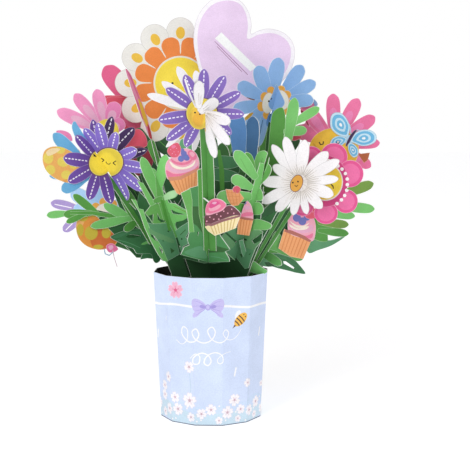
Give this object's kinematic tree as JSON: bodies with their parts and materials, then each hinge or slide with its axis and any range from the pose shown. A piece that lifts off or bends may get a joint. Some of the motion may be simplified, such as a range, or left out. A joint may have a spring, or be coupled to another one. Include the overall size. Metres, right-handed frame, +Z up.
{
  "type": "pop up card",
  "caption": "Pop-up bouquet card: a twelve-sided card pot holding die-cut flowers, leaves, cakes, balloons, a butterfly and a heart note on a slotted lattice.",
  "frame": {"origin": "middle of the pot's underside, on the plane it stands on", "axes": "+Z up the pot's axis; the pot's front facet and the printed front of the bouquet face -Y; +X to the right seen from the front"},
  "size_m": [0.2191, 0.1521, 0.2718],
  "materials": {
    "pot_card": "matte",
    "green_card": "matte",
    "light_green_card": "matte",
    "purple_card": "matte",
    "white_card": "matte",
    "blue_card": "matte",
    "orange_card": "matte",
    "pink_card": "matte",
    "lilac_card": "matte",
    "peach_card": "matte"
  },
  "bodies": {
    "root": {"aster_purple_centre": "purple_card", "aster_purple_left": "purple_card", "aster_purple_left_b": "purple_card", "aster_white_centre": "white_card", "aster_white_centre_b": "white_card", "balloon_lower": "orange_card", "balloon_upper": "orange_card", "base_panel": "pot_card", "bloom_blue": "blue_card", "bloom_blue_b": "blue_card", "bloom_orange": "orange_card", "bloom_pink_left": "pink_card", "bloom_pink_right": "pink_card", "bloom_rose_edge": "pink_card", "bloom_scalloped": "pink_card", "bloom_sky_left": "blue_card", "butterfly": "blue_card", "cone_small": "peach_card", "cupcake_centre": "peach_card", "cupcake_half": "peach_card", "cupcake_left": "peach_card", "cupcake_right": "peach_card", "daisy_right": "white_card", "frond_right_a": "light_green_card", "frond_right_b": "light_green_card", "heart_card": "lilac_card", "lattice_a_back": "green_card", "lattice_a_front": "green_card", "lattice_a_mid": "green_card", "lattice_b_back": "green_card", "lattice_b_front": "green_card", "lattice_b_mid": "green_card", "leaf_back_centre": "green_card", "leaf_back_left": "green_card", "leaf_back_right": "green_card", "leaf_dark_left": "green_card", "leaf_foot_light": "light_green_card", "leaf_foot_right": "green_card", "leaf_front_a": "green_card", "leaf_front_b": "green_card", "leaf_spray_left": "light_green_card", "leaf_spray_right": "light_green_card", "leaf_stem_right": "light_green_card", "petal_white_centre": "white_card", "petals_blue_left": "blue_card", "petals_rose_back": "pink_card", "pot_wall": "pot_card", "sprig_left_a": "light_green_card", "sprig_left_b": "light_green_card"}
  },
  "joints": []
}
